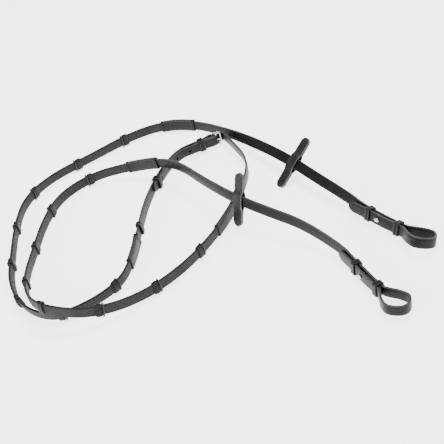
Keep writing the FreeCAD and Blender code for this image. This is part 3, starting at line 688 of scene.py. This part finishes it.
def hook_stud(side_name, strand):
    """Flat base behind the strap, thin neck, and a long domed head over the billet."""
    station = stud_station(side_name)
    place, travel, across, side = strand.at(station)
    back = -FRONT / 2 - 0.0014
    front = layer_gap(strand, station) + FRONT / 2 + 0.0003
    lathe("stud_base_" + side_name, place, side, travel,
          [(back, 0.0008), (back, 0.0041), (back + 0.0004, 0.0045), (back + 0.0009, 0.0043),
           (back + 0.0012, 0.002)], "reins")
    lathe("stud_neck_" + side_name, place, side, travel,
          [(back + 0.0008, 0.0017), (front + 0.0006, 0.0017)], "reins")
    head = lathe("stud_head_" + side_name, place + travel * 0.0006, side, travel,
                 [(front, 0.0012), (front + 0.0002, 0.0024), (front + 0.0007, 0.0029),
                  (front + 0.0013, 0.0028), (front + 0.0019, 0.0021), (front + 0.0023, 0.001),
                  (front + 0.0024, 0.0002)], "reins", stretch=1.5)
    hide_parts(side_name + "_hook_stud")


def sleeve(name, strand, middle, cad_name):
    """The stitched leather cover of a splice, skived thin at both ends."""
    half = SPLICE_LONG / 2
    inner = half - SPLICE_SKIVE
    spare = [(-half + SPLICE_SKIVE + (SPLICE_LONG - 2 * SPLICE_SKIVE) * k / 14, 1.0)
             for k in range(1, 14)]
    path = ([(-half, 0.0), (-half, 0.3), (-half + 0.003, 0.7), (-half + SPLICE_SKIVE, 1.0)] + spare
            + [(inner, 1.0), (half - 0.003, 0.75), (half, 0.4), (half, 0.0)])
    rings, wears_and_highlights, runs = [], [], []
    for x, rise in path:
        place, travel, across, side = strand.at(middle + x)
        swell = SPLICE_SWELL * rise
        section = strap_section(WIDTH + 0.0008 + 1.5 * swell, WEB + 2 * SPLICE_GAP + 2 * swell,
                                0.0010, 0.0003 * rise, 0.0002 * rise)
        rings.append([place + across * u + side * v for u, v, w in section])
        # the cover's edges a little less pale: partly wear, partly painted highlight
        wears_and_highlights.append([w * 0.8 for u, v, w in section])
        runs.append([(x, u) for u, v, w in section])
    cover = skin(name, rings, STRAP_LEATHER, "reins", wears_and_highlights, runs)
    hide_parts(cad_name)
    out = WEB / 2 + SPLICE_GAP + SPLICE_SWELL + STITCH_LIFT
    spots = []
    for face in (1, -1):
        for height in (1, -1):
            spots += seam(strand, middle - half + 0.007, middle + half - 0.007,
                          height * (WIDTH / 2 - 0.0022), face * out)
    stitches(name + "_thread", spots, "reins")


def stop_section(z):
    """A rein-stop layer's outline this far from its middle, rounded off towards the ends."""
    beyond = max(abs(z) - (STOP_HALF_LONG - STOP_HALF_WIDE), 0)
    wide = STOP_HALF_WIDE * math.sqrt(max(1 - (beyond / STOP_HALF_WIDE) ** 2, BLUNT_STOP))
    narrow = 0.0042                    # below this half-width there is no room for the creases
    if wide < narrow:
        return [(u * wide / narrow, v, w)
                for u, v, w in strap_section(2 * narrow, STOP_PLY, 0.0007, 0.0001)]
    return strap_section(2 * wide, STOP_PLY, 0.0007, 0.0002, 0.0004)


def stop_stitches():
    """Rows round both ends of a rein stop, clear of its parted middle: place and direction."""
    inset, reach = STOP_HALF_WIDE - 0.0022, STOP_HALF_LONG - STOP_HALF_WIDE
    rows = []
    for sign in (1, -1):
        for edge in (1, -1):
            rows += [(edge * inset, sign * (0.0165 + STITCH_PITCH * k), 0, 1) for k in range(6)]
        for degrees in range(14, 180, 30):
            across, along = math.cos(math.radians(degrees)), math.sin(math.radians(degrees))
            rows.append((inset * across, sign * (reach + inset * along), -along, sign * across))
    return rows


def rein_stop(side_name, strand, station):
    """Two stitched leather layers, rounded at both ends and parted round the strap."""
    place, travel, across, side = strand.at(station)
    body = side_name + "_rein_stop"
    part = FRONT / 2 + 0.0010 + STOP_PLY / 2   # how far each layer's middle stands off the line
    ends = [STOP_HALF_LONG - STOP_HALF_WIDE * (k / 10) ** 2 for k in range(11)]
    inner, step = 0.035, 0.0014
    rest = [inner - step * k for k in range(1, 51) if inner - step * k > -inner]
    layers, spots = [], []
    for face, label in ((1, "left"), (-1, "right")):
        rings, wears_and_highlights, runs = [], [], []
        for z in ends + rest + [-e for e in ends[::-1]]:
            lift = 1 - min(max((abs(z) - STOP_PARTED) / STOP_SLOPE, 0), 1)
            lift = lift * lift * (3 - 2 * lift)
            out = STOP_PLY / 2 + (part - STOP_PLY / 2) * lift
            section = stop_section(z)
            rings.append([place + across * z + travel * u + side * (face * out + v)
                          for u, v, w in section])
            wears_and_highlights.append([w for u, v, w in section])
            runs.append([(z, u) for u, v, w in section])
        layers.append(skin("%s_stop_layer_%s" % (side_name, label), rings, STOP_LEATHER, body,
                           wears_and_highlights, runs))
        for u, z, du, dz in stop_stitches():
            spots.append((place + travel * u + across * z + side * (face * (STOP_PLY + STITCH_LIFT)),
                          (travel * du + across * dz).normalized(), side * face))
    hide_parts(side_name + "_rein_stop")
    stitches(side_name + "_stop_thread", spots, body)


def hand_stop(cad_name, strand, at):
    """A lipped leather strip stitched round the grip."""
    made = wrap(cad_name + "_strip", strand, at, HAND_STOP_LONG, WEB, HAND_STOP_WALL, "reins",
                shape=LIPPED_WRAP, lap=0.0007)
    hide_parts(cad_name)
    stitches(cad_name + "_thread",
             wrap_seams(strand, at, HAND_STOP_LONG, WEB, HAND_STOP_WALL, places=(-0.3, 0.0),
                        rise=0.66), "reins")


def keeper(cad_name, strand, at, thick, body, wall=KEEPER_WALL, gap=0.0005, aside=0.0, lap=0.0008,
           seam_room=0.0004):
    """A stitched leather band round straps that are this thick together."""
    made = wrap(cad_name + "_loop", strand, at, KEEPER_LONG, thick, wall, body, gap=gap,
                aside=aside, lap=lap)
    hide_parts(cad_name)
    stitches(cad_name + "_thread",
             wrap_seams(strand, at, KEEPER_LONG, thick + seam_room, KEEPER_WALL, aside=aside), body)


def build_rein(side_name, strand):
    """All of one rein but the buckle; gives its three straps, each with its two end stations."""
    loop = LOOP[side_name]
    seam_in = strand.nearest(middle_of(side_name + "_front_splice"), loop)
    seam_out = strand.nearest(middle_of(side_name + "_rear_splice"), seam_in)
    end = strand.station[-1]
    front = strap(side_name + "_front", strand, 0.0, seam_in - BUTT, FRONT, STRAP_LEATHER,
                  tip=True)
    web_grip = strap(side_name + "_web", strand, seam_in + BUTT, seam_out - BUTT, WEB,
                     WEB_CLOTH, corner=0.0012, crease=0.0)
    rear = strap(side_name + "_rear", strand, seam_out + BUTT, end, REAR, STRAP_LEATHER,
                 tail=side_name == "left")
    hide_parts(side_name + "_front_strap")
    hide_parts(side_name + "_web_grip")
    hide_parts(side_name + "_rear_strap")

    sleeve(side_name + "_front_sleeve", strand, seam_in, side_name + "_front_splice")
    sleeve(side_name + "_rear_sleeve", strand, seam_out, side_name + "_rear_splice")
    # bound ends of the splices: a broad binding towards the leather, a narrow one on the web
    for label, at, long in (("front_binding", seam_in - 0.0265, 0.0065),
                            ("grip_binding", seam_in + 0.0275, 0.0035),
                            ("rear_binding", seam_out + 0.0265, 0.0065),
                            ("heel_binding", seam_out - 0.0275, 0.0035)):
        wrap("%s_%s" % (side_name, label), strand, at, long, WEB + 0.0008, 0.0014, "reins")

    for k in range(1, HAND_STOPS + 1):
        cad_name = "%s_hand_stop_%d" % (side_name, k)
        hand_stop(cad_name, strand, strand.nearest(middle_of(cad_name), seam_in, seam_out))
    for label, body in (("fixed_keeper", "reins"), ("free_keeper", side_name + "_free_keeper")):
        cad_name = "%s_%s" % (side_name, label)
        at = strand.nearest(middle_of(cad_name), loop, loop + 0.2)
        apart = layer_gap(strand, at)
        keeper(cad_name, strand, at, FRONT + apart, body, aside=apart / 2)
    hook_stud(side_name, strand)
    rein_stop(side_name, strand,
              strand.nearest(middle_of(side_name + "_rein_stop"), loop + 0.1, seam_in))
    return dict(front=(front, 0.0, seam_in - BUTT), web=(web_grip, seam_in + BUTT, seam_out - BUTT),
                rear=(rear, seam_out + BUTT, end))


STRAPS = {side_name: build_rein(side_name, strand) for side_name, strand in SIDES.items()}

# ---------------------------------------------------------------------------- centre buckle
BAR = Vector(BUCKLE["bar"]) + SHIFT
OUT = level(BUCKLE["heading"] - BUCKLE["tilt"])   # from the bar to the frame's far side
BESIDE = UP.cross(OUT)


def buckle_frame():
    spots = [BAR + OUT * u + UP * v
             for u, v, _, _ in rounded_rectangle(0, REACH, HALF_BAR, FRAME_CORNER, 7, 4)]
    made = wire("buckle_wire", spots, [WIRE] * len(spots), "buckle_frame", closed=True)
    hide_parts("buckle_frame")


def buckle_tongue():
    """A pin curled round the bar, laid across to the frame's far side and tapered there."""
    spots = [BAR + (OUT * math.cos(math.radians(a)) + BESIDE * math.sin(math.radians(a))) * LIE_OFF
             for a in range(40, 271, 15)]
    spots += [BAR + OUT * (REACH * s) - BESIDE * (LIE_OFF + 0.0001 * s) for s in (0.25, 0.5, 0.75, 1.0)]
    spots += [BAR + OUT * (REACH + 0.0016) - BESIDE * (LIE_OFF - 0.0001),
              BAR + OUT * (REACH + 0.0022) - BESIDE * (LIE_OFF - 0.0003)]
    taper = (0.95, 0.9, 0.7, 0.25)
    radii = [PIN] * (len(spots) - len(taper)) + [PIN * share for share in taper]
    made = wire("buckle_pin", spots, radii, "buckle_tongue")
    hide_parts("buckle_tongue")


buckle_frame()
buckle_tongue()

# bands on the right rein: round the fold and the left rein, round both reins, and round one strap
right_rear = STRAPS["right"]["rear"][1]
fold_start = RIGHT.nearest(chape[0][0] + SHIFT, right_rear)
at = RIGHT.nearest(middle_of("buckle_keeper"), right_rear, fold_start + 0.02)
thick = 3 * REAR + 0.0008
keeper("buckle_keeper", RIGHT, at, thick, "reins", gap=0.0004, aside=-(thick - REAR) / 2,
       lap=0.0006, seam_room=0.0)
at = RIGHT.nearest(middle_of("point_keeper"), right_rear, fold_start)
keeper("point_keeper", RIGHT, at, 2 * REAR + 0.0013, "point_keeper", wall=KEEPER_WALL + 0.0003,
       aside=-0.00205)
at = RIGHT.nearest(middle_of("rear_runner"), right_rear, fold_start)
keeper("rear_runner", RIGHT, at, REAR, "rear_runner", wall=KEEPER_WALL + 0.0003)

# stitches that close the fold round the buckle's bar
fold_end = RIGHT.station[-1]
spots = []
for height in (0.0058, -0.0058):
    spots += seam(RIGHT, fold_start + 0.001, fold_start + 0.013, height, -(REAR / 2 + 0.0002))
    spots += seam(RIGHT, fold_end - 0.013, fold_end - 0.002, height, REAR / 2 + 0.0002)
stitches("buckle_fold_thread", spots, "reins")

# holes: spare holes towards the left rein's point, the tongue's own, and one for each hook stud
cutters = []
for k in range(SPARE_HOLES):
    place, travel, across, side = LEFT.at(LEFT.station[-1] - FIRST_HOLE - HOLE_PITCH * k)
    cutters.append(punch(place, side, HOLE_RADIUS))
cutters.append(punch(BAR + OUT * 0.0085 - BESIDE * (LIE_OFF + 0.0004), OUT, 0.0026, reach=0.0055))
cut_holes(STRAPS["left"]["rear"][0], cutters)
for side_name, strand in SIDES.items():
    place, travel, across, side = strand.at(stud_station(side_name))
    cut_holes(STRAPS[side_name]["front"][0], [punch(place, side, 0.0021, reach=0.014)])

# ---------------------------------------------------------------------------- each strap's path along its stations, worked out and not used further
for side_name, strand in SIDES.items():
    for label, (obj, start, stop) in STRAPS[side_name].items():
        path = [strand.at(s)[0] for s in strand.stations(start, stop)]

# ---------------------------------------------------------------------------- stage and light
FLOOR_HALF, FLOOR_GLOW, TENT = 20, 2.9, 1.1
LAMP_SIZE, LAMP_POWER = 0.9, 45
LAMPS = (("front_left", (-1.5, -1.6, 0.9), (-0.1, 0, 0)), ("overhead", (0.3, 0.6, 1.9), (0, 0, 0)))

ground = bpy.data.meshes.new("floor")
ground.from_pydata([(x * FLOOR_HALF, y * FLOOR_HALF, 0) for x, y in ((-1, -1), (1, -1), (1, 1), (-1, 1))],
                   [], [(0, 1, 2, 3)])
material, tree, shader = blank("pale_floor")
coords = tree.nodes.new("ShaderNodeTexCoord").outputs["Object"]
dust = node(tree, "TexNoise", Vector=coords, Scale=6.0, Detail=2.0)
tint = ramp(tree, dust.outputs["Fac"], ((0.3, (0.94, 0.94, 0.94)), (0.7, (0.96, 0.96, 0.96))))
tree.links.new(tint, shader.inputs["Base Color"])
tree.links.new(tint, shader.inputs["Emission Color"])
shader.inputs["Emission Strength"].default_value = FLOOR_GLOW
shader.inputs["Roughness"].default_value = 0.9
shader.inputs["Specular IOR Level"].default_value = 0.1
ground.materials.append(material)
floor = bpy.data.objects.new("floor", ground)
bpy.context.collection.objects.link(floor)

# a white tent: brightest at the horizon, a fifth dimmer from about 20 degrees up
world = bpy.data.worlds.new("studio")
world.use_nodes = True
tree = world.node_tree
around = tree.nodes.new("ShaderNodeTexCoord").outputs["Generated"]
height = tree.nodes.new("ShaderNodeSeparateXYZ")
tree.links.new(around, height.inputs[0])
tent = ramp(tree, height.outputs["Z"], ((0.0, (1.0, 1.0, 1.0)), (0.35, (0.8, 0.8, 0.81))))
tree.links.new(tent, tree.nodes["Background"].inputs["Color"])
tree.nodes["Background"].inputs["Strength"].default_value = TENT
bpy.context.scene.world = world
for name, place, aim in LAMPS:
    lamp = bpy.data.lights.new(name, "AREA")
    lamp.size, lamp.energy = LAMP_SIZE, LAMP_POWER
    holder = bpy.data.objects.new(name, lamp)
    holder.location = place
    holder.rotation_mode = "QUATERNION"
    holder.rotation_quaternion = (Vector(aim) - Vector(place)).to_track_quat("-Z", "Y")
    bpy.context.collection.objects.link(holder)
